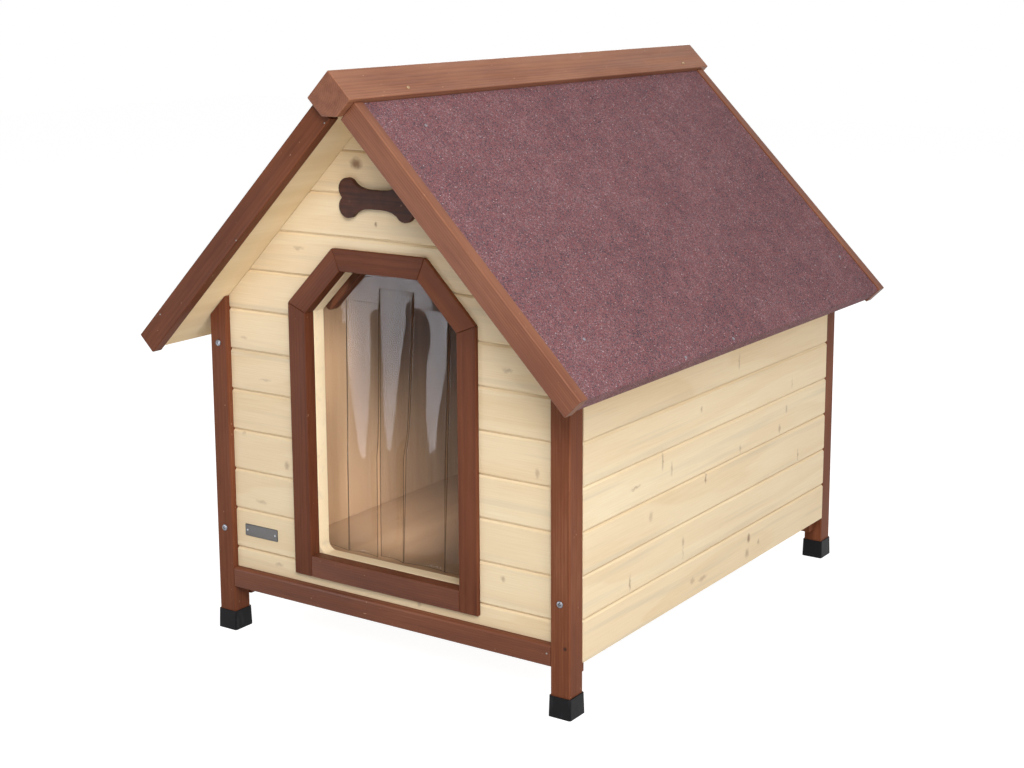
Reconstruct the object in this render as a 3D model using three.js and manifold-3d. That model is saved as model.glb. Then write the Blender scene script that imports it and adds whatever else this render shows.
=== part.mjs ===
// Wooden dog house with a gable roof, an arched doorway and a strip curtain.
// Units are millimetres. X runs across the front, +Y points to the back, +Z is up.
// Z = 0 is the ground, and X = Y = 0 lies under the middle of the roof.
// Left and right are those of someone who looks at the front.
import * as THREE from "three";
import { mergeVertices } from "three/addons/utils/BufferGeometryUtils.js";
import Module from "manifold-3d";

const wasm = await Module();
wasm.setup();

// ------------------------------------------------------------ driving sizes
const GAP = 0.3; // clearance between cut or sloping faces that meet

// body and posts
const BODY_WIDTH = 640; // over the posts, across the front
const BODY_DEPTH = 840; // over the posts, front to back
const POST_WIDTH = 31; // post section along X
const POST_DEPTH = 33; // post section along Y
const TIMBER_EASE = 2; // rounded long edges of planed timber

// foot caps
const CAP_HEIGHT = 30;
const CAP_FLOOR = 3; // material under the post
const CAP_RIM_WALL = 1.8;
const CAP_FOOT_WALL = 2.6;
const CAP_CORNER = 3;

// rails and boards
const RAIL_BOTTOM = 70;
const RAIL_HEIGHT = 31;
const RAIL_EDGE = 5; // rounded top edge
const BOARD_PITCH = 62; // cover height of one tongue-and-groove board
const BOARD_THICK = 13;
const BOARD_V_DEPTH = 3; // V joint between two boards
const BOARD_V_HALF = 3.2;
const END_RECESS = 10; // end boards behind the faces of the posts
const SIDE_PROUD = 1; // side boards in front of the posts
const SIDE_BOTTOM = 72; // lower edge of the side boards and the inner panels

// inner panels, battens and floor
const LINING_THICK = 22;
const BATTEN_DEPTH = 22; // corner battens along Y
const BATTEN_FOOT = 22; // battens below the side boards
const FLOOR_THICK = 18;
const BEARER_HEIGHT = 20;
const BEARER_WIDTH = 22;

// roof
const PITCH = THREE.MathUtils.degToRad(45.5);
const EAVE_HEIGHT = 492.4; // underside of the deck over the outer faces of the posts
const DECK_THICK = 24.5;
const FELT_THICK = 2.5;
const FELT_HEM = 2; // felt stops short of the deck's lower edge
const BARGE_THICK = 19;
const BARGE_WIDTH = 34.5; // square to the slope
const BARGE_DROP = 4.2; // below the underside of the deck
const EAVE_OVERHANG = 66.5; // barge boards beyond the posts, along X
const EAVE_SETBACK = 4; // deck end behind the ends of the barge boards
const FRONT_OVERHANG = 80; // barge boards in front of the posts
const REAR_OVERHANG = 50;
const BEAM_RISE = 51; // top of the ridge beam above the meeting undersides
const BEAM_FACE = 53; // upper faces of the ridge beam
const BEAM_CHEEK = 34; // its lower faces, which the roof panels butt against
const BEAM_NOSE = 13; // beam ends beyond the barge boards

// door frame, measured on its outline
const DOOR_HALF = 167;
const DOOR_BOTTOM = 115;
const DOOR_SHOULDER = 526; // where the sloping members start
const DOOR_TOP = 612;
const FRAME_WIDTH = 32;
const FRAME_BEHIND = 3; // frame face behind the faces of the posts
const FRAME_LIP = 12; // how far the frame covers the boards
const DOORWAY_CORNER = 14; // rounded lower corners of the inner panel

// strip curtain and its clamps
const SHEET = 2;
const SHEET_LAP = 20; // header sheet over the inner panel
const STRIP_DROPS = [115, 81, 59, 81, 115]; // strip tops below the frame, left to right
const SLIT = 1.2;
const STRIP_CLEAR = 0.5; // strips hang clear of the inner panel
const STRIP_BOW = 5; // the middle of a strip curls inwards
const STRIP_FLOAT = 3; // strip ends above the sill
const CLAMP_THICK = 15;
const CLAMP_WIDTH = 28;
const CLAMP_SHOWS = 10; // clamp edge that shows inside the frame
const CLAMP_ROUND = 8;

// bone ornament
const BONE_RISE = 74; // centre above the door frame
const BONE_THICK = 8;
const BONE_KNUCKLE = 16; // radius of each knuckle
const KNUCKLE_X = 50;
const KNUCKLE_Z = 12.5;
const BONE_SHAFT = 13.5; // half height of the shaft
const BONE_TURN = 125; // degrees of the knuckle before it runs into the shaft
const BONE_STRAIGHT = 8; // half length of the straight shaft

// ------------------------------------------------------------ worked out
const SIN = Math.sin(PITCH);
const COS = Math.cos(PITCH);
const TAN = Math.tan(PITCH);
const HALF = BODY_WIDTH / 2;
const POST_INNER = HALF - POST_WIDTH;
const BEAM_FRONT = FRONT_OVERHANG + BEAM_NOSE;
const BEAM_REAR = REAR_OVERHANG + BEAM_NOSE;
const FRONT = (BEAM_FRONT - BEAM_REAR - BODY_DEPTH) / 2; // faces of the front posts
const REAR = FRONT + BODY_DEPTH;
const RAIL_TOP = RAIL_BOTTOM + RAIL_HEIGHT;
const WALL_BACK = END_RECESS + BOARD_THICK;
const LINING_BACK = WALL_BACK + LINING_THICK;
const SIDE_FACE = HALF + SIDE_PROUD;
const SIDE_BACK = SIDE_FACE - BOARD_THICK;
const LINING_FACE = SIDE_BACK - LINING_THICK;
const BATTEN_BACK = POST_DEPTH + BATTEN_DEPTH;
const FLOOR_BOTTOM = SIDE_BOTTOM + BEARER_HEIGHT;
const SOFFIT_APEX = EAVE_HEIGHT + HALF * TAN; // where both undersides would meet
const SOFFIT = SOFFIT_APEX * COS; // distances square to a slope, from the origin
const DECK_TOP = SOFFIT + DECK_THICK;
const BARGE_BOTTOM = SOFFIT - BARGE_DROP;
const BARGE_TOP = BARGE_BOTTOM + BARGE_WIDTH;
const BEAM_TOP = SOFFIT_APEX + BEAM_RISE;
const CHEEK = BEAM_FACE - BEAM_TOP * SIN; // distances along a slope, downwards
const SLOPE_START = CHEEK + GAP;
const SLOPE_END = (HALF + EAVE_OVERHANG - BARGE_TOP * SIN) / COS;
const DECK_END = SLOPE_END - EAVE_SETBACK;
const CORNER_X = BEAM_FACE * COS; // side corners of the ridge beam
const CORNER_Z = BEAM_TOP - BEAM_FACE * SIN;
const BEAM_BOTTOM = CORNER_Z - BEAM_CHEEK * COS;
const GABLE_TOP = BEAM_BOTTOM - GAP;
const UNDER_ROOF = SOFFIT_APEX - GAP / COS; // apex of what fits below the decks
const SIDE_TOP = UNDER_ROOF - SIDE_FACE * TAN;
const LINING_TOP = UNDER_ROOF - SIDE_BACK * TAN;
const SHOULDER_LINE = DOOR_HALF * SIN + DOOR_SHOULDER * COS; // outline's slope
const SILL = DOOR_BOTTOM + FRAME_WIDTH;
const CLAMP_IN = FRAME_WIDTH + CLAMP_SHOWS; // clamp edges as offsets of the outline
const CLAMP_OUT = CLAMP_IN - CLAMP_WIDTH;
const SHEET_EDGE = FRAME_WIDTH - SHEET_LAP;
const SHEET_FACE = LINING_BACK;
const CLAMP_FACE = SHEET_FACE + SHEET;
const STRIP_COUNT = STRIP_DROPS.length;
const STRIP_PITCH = 2 * (DOOR_HALF - SHEET_EDGE) / STRIP_COUNT;
const FIRST_JOINT = RAIL_BOTTOM + BOARD_PITCH; // lowest joint between two boards
const HOLE_OFFSET = FRAME_LIP - GAP; // hole in the boards, inside the door's outline
const JOINTS_BESIDE = Math.floor((DOOR_TOP - HOLE_OFFSET - FIRST_JOINT) / BOARD_PITCH);
const GABLE_SPLIT = FIRST_JOINT + JOINTS_BESIDE * BOARD_PITCH; // last joint beside the door

// ------------------------------------------------------------ materials
function look(color, roughness, metalness = 0) {
  return new THREE.MeshStandardMaterial({ color, roughness, metalness });
}

const STAINED = () => look(0x7b4b39, 0.55);
const NATURAL = () => look(0xead7ae, 0.5);
const LINING = () => look(0xd8bd8c, 0.7);
const FELT = () => look(0x7d5154, 0.95);
const RUBBER = () => look(0x232325, 0.45);
const DARK = () => look(0x4a2c22, 0.5);

function clear() {
  const material = look(0xcfd2d6, 0.1);
  material.transparent = true;
  material.opacity = 0.35;
  return material;
}

// ------------------------------------------------------------ scene graph
const house = new THREE.Group();
const front = new THREE.Group(); // local Y runs inwards from the post faces
const rear = new THREE.Group();
front.position.y = FRONT;
rear.position.y = REAR;
rear.rotation.z = Math.PI;
house.add(front, rear);

function add(parent, name, geometry, material) {
  const mesh = new THREE.Mesh(geometry, material);
  mesh.name = name;
  parent.add(mesh);
}

function sideName(side) {
  return side < 0 ? "left" : "right";
}

// ------------------------------------------------------------ extrusions
function extrude(shape, depth, steps = 1) {
  const options = { depth, steps, bevelEnabled: false, curveSegments: 3 };
  return new THREE.ExtrudeGeometry(shape, options);
}

// The shape is drawn in (y, z) and runs along X.
function alongX(shape, from, to, steps) {
  const turn = new THREE.Matrix4().set(0, 0, 1, from, 1, 0, 0, 0, 0, 1, 0, 0, 0, 0, 0, 1);
  return extrude(shape, to - from, steps).applyMatrix4(turn);
}

// The shape is drawn in (x, z) and runs along Y.
function alongY(shape, from, to) {
  return extrude(shape, to - from).rotateX(Math.PI / 2).translate(0, to, 0);
}

// The shape is drawn in (x, y) and runs along Z.
function alongZ(shape, from, to) {
  return extrude(shape, to - from).translate(0, 0, from);
}

function polygon(points) {
  return new THREE.Shape(points.map(([a, b]) => new THREE.Vector2(a, b)));
}

function rectangle(a0, a1, b0, b1) {
  return polygon([[a0, b0], [a1, b0], [a1, b1], [a0, b1]]);
}

// A rectangle whose corners are rounded by one radius.
function planed(a0, a1, b0, b1, radius = TIMBER_EASE) {
  const shape = new THREE.Shape();
  shape.absarc(a1 - radius, b0 + radius, radius, -Math.PI / 2, 0);
  shape.absarc(a1 - radius, b1 - radius, radius, 0, Math.PI / 2);
  shape.absarc(a0 + radius, b1 - radius, radius, Math.PI / 2, Math.PI);
  shape.absarc(a0 + radius, b0 + radius, radius, Math.PI, 1.5 * Math.PI);
  return shape;
}

// ------------------------------------------------------------ booleans
function solid(geometry) {
  const bare = geometry.clone();
  bare.deleteAttribute("normal");
  bare.deleteAttribute("uv");
  const merged = mergeVertices(bare, 1e-4);
  return new wasm.Manifold(new wasm.Mesh({
    numProp: 3,
    vertProperties: new Float32Array(merged.attributes.position.array),
    triVerts: new Uint32Array(merged.index.array),
  }));
}

function geometryOf(body) {
  const mesh = body.getMesh();
  const geometry = new THREE.BufferGeometry();
  geometry.setAttribute("position", new THREE.BufferAttribute(mesh.vertProperties, 3));
  geometry.setIndex(new THREE.BufferAttribute(mesh.triVerts, 1));
  geometry.computeVertexNormals();
  return geometry;
}

// Everything below the roof decks, less the clearance.
function underRoof() {
  const reach = UNDER_ROOF / TAN;
  const gable = polygon([[-reach, 0], [reach, 0], [0, UNDER_ROOF]]);
  return solid(alongY(gable, -BODY_DEPTH, BODY_DEPTH));
}

// ------------------------------------------------------------ doorway outline
// Corner of the doorway's outline, moved inwards by offset, in the order
// left foot, left shoulder, left top, right top, right shoulder, right foot.
function doorCorner(index, offset) {
  const side = index < 3 ? -1 : 1;
  const step = side < 0 ? index : 5 - index;
  const half = DOOR_HALF - offset;
  const top = DOOR_TOP - offset;
  const slope = SHOULDER_LINE - offset;
  if (step === 0) return new THREE.Vector2(side * half, DOOR_BOTTOM + offset);
  if (step === 1) return new THREE.Vector2(side * half, (slope - half * SIN) / COS);
  return new THREE.Vector2(side * (slope - top * COS) / SIN, top);
}

function doorOutline(offset) {
  return new THREE.Shape([0, 1, 2, 3, 4, 5].map((index) => doorCorner(index, offset)));
}

// Moves a mitre cut back along its member, so that two members keep the gap.
function backOff(outer, inner, along) {
  const cut = inner.clone().sub(outer).normalize();
  const shift = along.clone().multiplyScalar(GAP / 2 / Math.abs(along.cross(cut)));
  return [outer.clone().add(shift), inner.clone().add(shift)];
}

// The member between two corners, from one offset to another, mitred at both ends.
function mitred(index, outerOffset, innerOffset) {
  const starts = [doorCorner(index, outerOffset), doorCorner(index, innerOffset)];
  const ends = [doorCorner(index + 1, outerOffset), doorCorner(index + 1, innerOffset)];
  const along = ends[0].clone().sub(starts[0]).normalize();
  const [startOuter, startInner] = backOff(...starts, along);
  const [endOuter, endInner] = backOff(...ends, along.clone().negate());
  return [startOuter, endOuter, endInner, startInner];
}

// ------------------------------------------------------------ posts and feet
function footCap(side) {
  const taper = CAP_FOOT_WALL - CAP_RIM_WALL;
  const left = POST_INNER - CAP_FOOT_WALL;
  const outer = alongZ(
    planed(left, HALF + CAP_FOOT_WALL, -CAP_FOOT_WALL, POST_DEPTH + CAP_FOOT_WALL, CAP_CORNER),
    0, CAP_HEIGHT);
  const middle = new THREE.Vector2(POST_INNER + POST_WIDTH / 2, POST_DEPTH / 2);
  const places = outer.attributes.position;
  for (let i = 0; i < places.count; i += 1) {
    if (places.getZ(i) === 0) continue;
    const x = places.getX(i);
    const y = places.getY(i);
    places.setX(i, x - Math.sign(x - middle.x) * taper);
    places.setY(i, y - Math.sign(y - middle.y) * taper);
  }
  const socket = alongZ(
    rectangle(POST_INNER - GAP, HALF + GAP, -GAP, POST_DEPTH + GAP), CAP_FLOOR, CAP_HEIGHT + 1);
  const cap = geometryOf(solid(outer).subtract(solid(socket)));
  return cap.translate(side < 0 ? -2 * middle.x : 0, 0, 0);
}

function post(side) {
  const inner = side * POST_INNER;
  const outer = side * HALF;
  const section = planed(Math.min(inner, outer), Math.max(inner, outer), 0, POST_DEPTH);
  return geometryOf(solid(alongZ(section, CAP_FLOOR, SOFFIT_APEX)).intersect(underRoof()));
}

function batten(side) {
  const inner = side * LINING_FACE;
  const outer = side * SIDE_BACK;
  const section = rectangle(Math.min(inner, outer), Math.max(inner, outer), POST_DEPTH, BATTEN_BACK);
  return alongZ(section, SIDE_BOTTOM - BATTEN_FOOT, LINING_TOP);
}

function rail() {
  const shape = new THREE.Shape();
  shape.moveTo(WALL_BACK, RAIL_BOTTOM);
  shape.lineTo(WALL_BACK, RAIL_TOP);
  shape.lineTo(RAIL_EDGE, RAIL_TOP);
  shape.absarc(RAIL_EDGE, RAIL_TOP - RAIL_EDGE, RAIL_EDGE, Math.PI / 2, Math.PI);
  shape.absarc(TIMBER_EASE, RAIL_BOTTOM + TIMBER_EASE, TIMBER_EASE, Math.PI, 1.5 * Math.PI);
  return alongX(shape, -POST_INNER, POST_INNER);
}

// ------------------------------------------------------------ board walls
function isJoint(z) {
  return Math.abs((z - FIRST_JOINT) % BOARD_PITCH) < 1e-6;
}

// Section of boards that lie one on another, with a V joint between each two.
// The first coordinate runs through the wall from its face to its back.
function boardSection(face, back, bottom, top) {
  const groove = face + Math.sign(back - face) * BOARD_V_DEPTH;
  const points = [[back, top], [back, bottom]];
  points.push(isJoint(bottom) ? [groove, bottom] : [face, bottom]);
  if (isJoint(bottom)) points.push([face, bottom + BOARD_V_HALF]);
  for (let joint = FIRST_JOINT; joint < top - BOARD_V_HALF; joint += BOARD_PITCH) {
    if (joint < bottom + BOARD_V_HALF) continue;
    points.push([face, joint - BOARD_V_HALF], [groove, joint], [face, joint + BOARD_V_HALF]);
  }
  if (isJoint(top)) points.push([face, top - BOARD_V_HALF]);
  points.push(isJoint(top) ? [groove, top] : [face, top]);
  return polygon(points);
}

function endBoards(left, right, bottom, top) {
  const boards = alongX(boardSection(END_RECESS, WALL_BACK, bottom, top), left, right);
  return solid(boards).intersect(underRoof());
}

// The hole in the front boards, clear of the rebated part of the door frame.
function boardHole() {
  return solid(alongY(doorOutline(HOLE_OFFSET), 0, LINING_BACK));
}

function frontBoards(left, right, bottom, top) {
  return geometryOf(endBoards(left, right, bottom, top).subtract(boardHole()));
}

function sideBoards(side) {
  const section = boardSection(side * SIDE_FACE, side * SIDE_BACK, SIDE_BOTTOM, SIDE_TOP);
  return alongY(section, FRONT + POST_DEPTH, REAR - POST_DEPTH);
}

// ------------------------------------------------------------ inner panels
function gablePanel() {
  const reach = (UNDER_ROOF - GABLE_TOP) / TAN;
  const eave = UNDER_ROOF - LINING_FACE * TAN;
  return polygon([
    [-LINING_FACE, SIDE_BOTTOM], [LINING_FACE, SIDE_BOTTOM], [LINING_FACE, eave],
    [reach, GABLE_TOP], [-reach, GABLE_TOP], [-LINING_FACE, eave],
  ]);
}

function doorway() {
  const hole = new THREE.Path();
  const inset = DOOR_HALF - FRAME_WIDTH - DOORWAY_CORNER;
  const centre = SILL + DOORWAY_CORNER;
  hole.absarc(inset, centre, DOORWAY_CORNER, 0, -Math.PI / 2, true);
  hole.absarc(-inset, centre, DOORWAY_CORNER, -Math.PI / 2, -Math.PI, true);
  for (const index of [1, 2, 3, 4]) {
    const corner = doorCorner(index, FRAME_WIDTH);
    hole.lineTo(corner.x, corner.y);
  }
  hole.closePath();
  return hole;
}

function sideLining(side) {
  const inner = side * LINING_FACE;
  const outer = side * SIDE_BACK;
  const section = rectangle(
    Math.min(inner, outer), Math.max(inner, outer), SIDE_BOTTOM, LINING_TOP);
  return alongY(section, FRONT + BATTEN_BACK, REAR - BATTEN_BACK);
}

// ------------------------------------------------------------ door frame
// A rebated member: a lip on the boards, and a thicker part inside their hole.
function rebated(lip, core) {
  const lipSolid = solid(alongY(lip, FRAME_BEHIND, END_RECESS));
  const coreSolid = solid(alongY(core, FRAME_BEHIND + 1, WALL_BACK));
  return geometryOf(lipSolid.add(coreSolid));
}

function frameMember(index) {
  const lip = new THREE.Shape(mitred(index, 0, FRAME_WIDTH));
  const core = new THREE.Shape(mitred(index, FRAME_LIP, FRAME_WIDTH));
  return rebated(lip, core);
}

// Jambs run down to the foot of the frame, and the sill butts between them.
function jamb(side) {
  const index = side < 0 ? 0 : 4;
  const square = (outerOffset) => {
    const points = mitred(index, outerOffset, FRAME_WIDTH);
    const feet = side < 0 ? [0, 3] : [1, 2];
    for (const foot of feet) points[foot].y = DOOR_BOTTOM + outerOffset;
    return new THREE.Shape(points);
  };
  return rebated(square(0), square(FRAME_LIP));
}

function doorSill() {
  const half = DOOR_HALF - FRAME_WIDTH - GAP;
  return rebated(
    rectangle(-half, half, DOOR_BOTTOM, SILL),
    rectangle(-half, half, DOOR_BOTTOM + FRAME_LIP, SILL));
}

// ------------------------------------------------------------ curtain
function stripTop(index) {
  return DOOR_TOP - STRIP_DROPS[index];
}

// The sheet over the strips, whose lower edge steps down with the doorway's arch.
function header() {
  const points = [1, 2, 3, 4].map((index) => doorCorner(index, SHEET_EDGE).toArray());
  const half = DOOR_HALF - SHEET_EDGE;
  points.push([half, stripTop(STRIP_COUNT - 1)]);
  for (let i = STRIP_COUNT - 1; i > 0; i -= 1) {
    const slit = i * STRIP_PITCH - half;
    const edge = slit + Math.sign(stripTop(i - 1) - stripTop(i)) * SLIT / 2;
    points.push([edge, stripTop(i)], [edge, stripTop(i - 1)]);
  }
  points.push([-half, stripTop(0)]);
  return alongY(polygon(points), SHEET_FACE, SHEET_FACE + SHEET);
}

// Section of a strip in (y, z), with a round top that turns under the header.
function stripSection(length) {
  const steps = 10;
  const half = SHEET / 2;
  const shape = new THREE.Shape();
  shape.moveTo(-half, -length);
  for (let i = 0; i <= steps; i += 1) shape.lineTo(-half, (i / steps - 1) * length);
  shape.absarc(0, 0, half, Math.PI, 0, true);
  for (let i = steps; i >= 0; i -= 1) shape.lineTo(half, (i / steps - 1) * length);
  return shape;
}

// A strip hangs flat at its top and curls into a shallow gutter further down.
function strip(index) {
  const hinge = stripTop(index) - GAP - SHEET / 2;
  const length = hinge - SILL - STRIP_FLOAT;
  const half = (STRIP_PITCH - SLIT) / 2;
  const sheet = alongX(stripSection(length), -half, half, 6);
  const places = sheet.attributes.position;
  for (let i = 0; i < places.count; i += 1) {
    const across = places.getX(i) / half;
    const down = Math.max(0, -places.getZ(i) / length);
    const curl = STRIP_BOW * Math.sin(Math.min(1, 2 * down) * Math.PI / 2);
    places.setY(i, places.getY(i) + curl * (1 - across * across));
  }
  const middle = (index - (STRIP_COUNT - 1) / 2) * STRIP_PITCH;
  return sheet.translate(middle, SHEET_FACE + STRIP_CLEAR + SHEET / 2, hinge);
}

function headClamp() {
  const shape = new THREE.Shape(mitred(2, CLAMP_OUT, CLAMP_IN));
  return alongY(shape, CLAMP_FACE, CLAMP_FACE + CLAMP_THICK);
}

// The sloping clamps end square, with a rounded lower corner.
function slopingClamp(side) {
  const [startOuter, endOuter, endInner, startInner] =
    mitred(side < 0 ? 1 : 3, CLAMP_OUT, CLAMP_IN);
  const topOuter = side < 0 ? endOuter : startOuter;
  const topInner = side < 0 ? endInner : startInner;
  const foot = doorCorner(side < 0 ? 1 : 4, CLAMP_IN);
  const outwards = new THREE.Vector2(side * SIN, COS);
  const upwards = new THREE.Vector2(-side * COS, SIN);
  const shape = new THREE.Shape();
  shape.moveTo(topInner.x, topInner.y);
  shape.lineTo(topOuter.x, topOuter.y);
  const heel = foot.clone().addScaledVector(outwards, CLAMP_WIDTH);
  shape.lineTo(heel.x, heel.y);
  const before = foot.clone().addScaledVector(outwards, CLAMP_ROUND);
  const after = foot.clone().addScaledVector(upwards, CLAMP_ROUND);
  shape.lineTo(before.x, before.y);
  shape.quadraticCurveTo(foot.x, foot.y, after.x, after.y);
  return alongY(shape, CLAMP_FACE, CLAMP_FACE + CLAMP_THICK);
}

// ------------------------------------------------------------ bone
function bone() {
  const turn = THREE.MathUtils.degToRad(BONE_TURN);
  const notch = Math.asin(-KNUCKLE_Z / BONE_KNUCKLE);
  const knuckle = new THREE.EllipseCurve(
    KNUCKLE_X, KNUCKLE_Z, BONE_KNUCKLE, BONE_KNUCKLE, notch, turn).getPoints(10);
  const leave = knuckle[knuckle.length - 1];
  const bendX = leave.x - (leave.y - BONE_SHAFT) * Math.tan(turn - Math.PI / 2);
  const neck = new THREE.QuadraticBezierCurve(
    leave, new THREE.Vector2(bendX, BONE_SHAFT),
    new THREE.Vector2(BONE_STRAIGHT, BONE_SHAFT)).getPoints(4).slice(1);
  const quarter = [...knuckle, ...neck];
  const flip = (points, x, z) => points.map((p) => new THREE.Vector2(x * p.x, z * p.y));
  const outline = [
    ...quarter,
    ...flip(quarter, -1, 1).reverse().slice(0, -1),
    ...flip(quarter, -1, -1),
    ...flip(quarter, 1, -1).reverse().slice(0, -1),
  ];
  return alongY(new THREE.Shape(outline), END_RECESS - BONE_THICK, END_RECESS)
    .translate(0, 0, DOOR_TOP + BONE_RISE);
}

// ------------------------------------------------------------ roof
// In a slope's group, X runs along the slope and Z stands square to it.
function slopeGroup(side) {
  const group = new THREE.Group();
  group.rotation.y = side * PITCH;
  house.add(group);
  return group;
}

function onSlope(side, points) {
  return polygon(points.map(([down, out]) => [side * down, out]));
}

function deck(side) {
  const section = onSlope(side, [
    [SLOPE_START, SOFFIT], [DECK_END, SOFFIT], [DECK_END, DECK_TOP], [SLOPE_START, DECK_TOP],
  ]);
  return alongY(section, FRONT - FRONT_OVERHANG + BARGE_THICK, REAR + REAR_OVERHANG - BARGE_THICK);
}

// The felt lies on the deck and folds down over its end.
function felt(side) {
  const under = DECK_TOP + GAP;
  const over = under + FELT_THICK;
  const inside = DECK_END + GAP;
  const outside = inside + FELT_THICK;
  const hem = SOFFIT + FELT_HEM;
  const section = onSlope(side, [
    [SLOPE_START, under], [inside, under], [inside, hem], [outside, hem],
    [outside, over - FELT_THICK], [outside - FELT_THICK, over], [SLOPE_START, over],
  ]);
  return alongY(section, FRONT - FRONT_OVERHANG + BARGE_THICK, REAR + REAR_OVERHANG - BARGE_THICK);
}

function bargeBoard(side, from) {
  const section = planed(from, from + BARGE_THICK, BARGE_BOTTOM, BARGE_TOP);
  const ends = [side * SLOPE_START, side * SLOPE_END].sort((a, b) => a - b);
  return alongX(section, ...ends);
}

function ridgeBeam() {
  const foot = CORNER_X - BEAM_CHEEK * SIN;
  const section = polygon([
    [0, BEAM_TOP], [-CORNER_X, CORNER_Z], [-foot, BEAM_BOTTOM],
    [foot, BEAM_BOTTOM], [CORNER_X, CORNER_Z],
  ]);
  return alongY(section, FRONT - BEAM_FRONT, REAR + BEAM_REAR);
}

// ------------------------------------------------------------ assembly
function addEnd(end, group, mirror) {
  for (const side of [-1, 1]) {
    const corner = `${end}_${sideName(side * mirror)}`;
    add(group, `${corner}_post`, post(side), STAINED());
    add(group, `${corner}_foot_cap`, footCap(side), RUBBER());
    add(group, `${corner}_batten`, batten(side), STAINED());
  }
  add(group, `${end}_bottom_rail`, rail(), STAINED());
}

function addWalls() {
  const wide = [-POST_INNER, POST_INNER];
  add(front, "front_bottom_board", frontBoards(...wide, RAIL_TOP, FIRST_JOINT), NATURAL());
  add(front, "front_left_boards", frontBoards(-POST_INNER, 0, FIRST_JOINT, GABLE_SPLIT), NATURAL());
  add(front, "front_right_boards", frontBoards(0, POST_INNER, FIRST_JOINT, GABLE_SPLIT), NATURAL());
  add(front, "front_gable_boards", frontBoards(...wide, GABLE_SPLIT, GABLE_TOP), NATURAL());
  const back = endBoards(...wide, RAIL_TOP, GABLE_TOP);
  add(rear, "rear_wall_boards", geometryOf(back), NATURAL());
  for (const side of [-1, 1]) {
    add(house, `${sideName(side)}_wall_boards`, sideBoards(side), NATURAL());
    add(house, `${sideName(side)}_inner_panel`, sideLining(side), LINING());
  }
  const doored = gablePanel();
  doored.holes.push(doorway());
  add(front, "front_inner_panel", alongY(doored, WALL_BACK, LINING_BACK), LINING());
  add(rear, "rear_inner_panel", alongY(gablePanel(), WALL_BACK, LINING_BACK), LINING());
}

function addFloor() {
  const from = FRONT + LINING_BACK;
  const to = REAR - LINING_BACK;
  for (const side of [-1, 1]) {
    const edges = [side * LINING_FACE, side * (LINING_FACE - BEARER_WIDTH)].sort((a, b) => a - b);
    const section = rectangle(...edges, SIDE_BOTTOM, FLOOR_BOTTOM);
    add(house, `${sideName(side)}_floor_bearer`, alongY(section, from, to), LINING());
  }
  const half = LINING_FACE - GAP;
  const section = rectangle(-half, half, FLOOR_BOTTOM, FLOOR_BOTTOM + FLOOR_THICK);
  add(house, "floor_panel", alongY(section, from + GAP, to - GAP), LINING());
}

function addDoor() {
  for (const side of [-1, 1]) {
    const name = sideName(side);
    add(front, `door_frame_${name}_jamb`, jamb(side), STAINED());
    add(front, `door_frame_${name}_brace`, frameMember(side < 0 ? 1 : 3), STAINED());
    add(front, `curtain_clamp_${name}`, slopingClamp(side), STAINED());
  }
  add(front, "door_frame_head", frameMember(2), STAINED());
  add(front, "door_frame_sill", doorSill(), STAINED());
  add(front, "curtain_clamp_head", headClamp(), STAINED());
  add(front, "curtain_header", header(), clear());
  for (let index = 0; index < STRIP_COUNT; index += 1) {
    add(front, `curtain_strip_${index + 1}`, strip(index), clear());
  }
  add(front, "bone_ornament", bone(), DARK());
}

function addRoof() {
  for (const side of [-1, 1]) {
    const slope = slopeGroup(side);
    const name = sideName(side);
    add(slope, `${name}_roof_deck`, deck(side), NATURAL());
    add(slope, `${name}_roof_felt`, felt(side), FELT());
    const rearFace = REAR + REAR_OVERHANG - BARGE_THICK;
    add(slope, `front_${name}_barge_board`, bargeBoard(side, FRONT - FRONT_OVERHANG), STAINED());
    add(slope, `rear_${name}_barge_board`, bargeBoard(side, rearFace), STAINED());
  }
  add(house, "ridge_beam", ridgeBeam(), STAINED());
}

addEnd("front", front, 1);
addEnd("rear", rear, -1);
addWalls();
addFloor();
addDoor();
addRoof();

export default house;
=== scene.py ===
"""Looks of a wooden dog house with a strip curtain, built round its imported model.

Units are metres. X runs across the front, +Y points to the back, +Z is up, and left and right are those
of someone who looks at the front.
"""
import math
import random

import bpy
from mathutils import Matrix, Vector


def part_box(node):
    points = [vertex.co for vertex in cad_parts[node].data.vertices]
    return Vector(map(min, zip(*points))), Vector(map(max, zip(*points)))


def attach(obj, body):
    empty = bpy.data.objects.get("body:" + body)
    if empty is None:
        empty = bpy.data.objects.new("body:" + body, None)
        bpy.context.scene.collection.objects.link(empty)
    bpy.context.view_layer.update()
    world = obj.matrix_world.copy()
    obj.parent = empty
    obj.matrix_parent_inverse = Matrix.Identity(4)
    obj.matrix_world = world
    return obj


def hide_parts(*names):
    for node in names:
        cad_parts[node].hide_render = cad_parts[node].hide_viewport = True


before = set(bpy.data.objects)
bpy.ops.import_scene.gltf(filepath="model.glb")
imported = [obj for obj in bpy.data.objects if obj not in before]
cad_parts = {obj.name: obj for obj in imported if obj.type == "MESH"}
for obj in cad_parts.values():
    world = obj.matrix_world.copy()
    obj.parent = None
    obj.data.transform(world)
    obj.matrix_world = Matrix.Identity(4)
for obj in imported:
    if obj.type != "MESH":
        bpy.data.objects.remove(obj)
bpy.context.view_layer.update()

MM = 0.001
X_AXIS = Vector((1, 0, 0))
Y_AXIS = Vector((0, 1, 0))
Z_AXIS = Vector((0, 0, 1))
TO_FRONT = (0, -1, 0)
SIDES = {"left": -1, "right": 1}
ENDS = {"front": -1, "rear": 1}

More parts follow.
